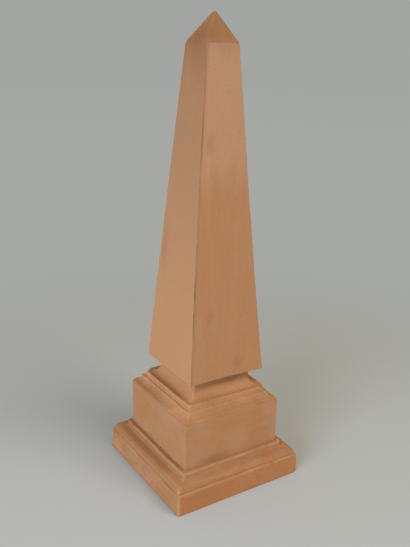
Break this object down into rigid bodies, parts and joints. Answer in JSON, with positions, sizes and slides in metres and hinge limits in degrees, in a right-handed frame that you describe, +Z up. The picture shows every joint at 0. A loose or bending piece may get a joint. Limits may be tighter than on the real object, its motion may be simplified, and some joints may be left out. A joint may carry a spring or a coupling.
{
  "type": "table-top obelisk",
  "caption": "Small terracotta obelisk for a table or shelf: a tapering square shaft with a pointed top on a moulded square pedestal, hollow and open underneath.",
  "frame": {"origin": "middle of the plinth's foot, at the level of the surface it stands on", "axes": "+Z up the middle of the shaft; the front side faces -Y, the left side -X, the right side +X and the back +Y"},
  "size_m": [0.16, 0.16, 0.5],
  "materials": {
    "terracotta": "matt, unglazed, finely grained, light where the edges are rubbed"
  },
  "bodies": {
    "root": {"plinth_front": "terracotta", "plinth_right": "terracotta", "plinth_back": "terracotta", "plinth_left": "terracotta", "base_moulding_front": "terracotta", "base_moulding_right": "terracotta", "base_moulding_back": "terracotta", "base_moulding_left": "terracotta", "die_front": "terracotta", "die_right": "terracotta", "die_back": "terracotta", "die_left": "terracotta", "cap_moulding_front": "terracotta", "cap_moulding_right": "terracotta", "cap_moulding_back": "terracotta", "cap_moulding_left": "terracotta", "shaft_front": "terracotta", "shaft_right": "terracotta", "shaft_back": "terracotta", "shaft_left": "terracotta", "shaft_floor": "terracotta", "pyramidion": "terracotta"}
  },
  "joints": []
}
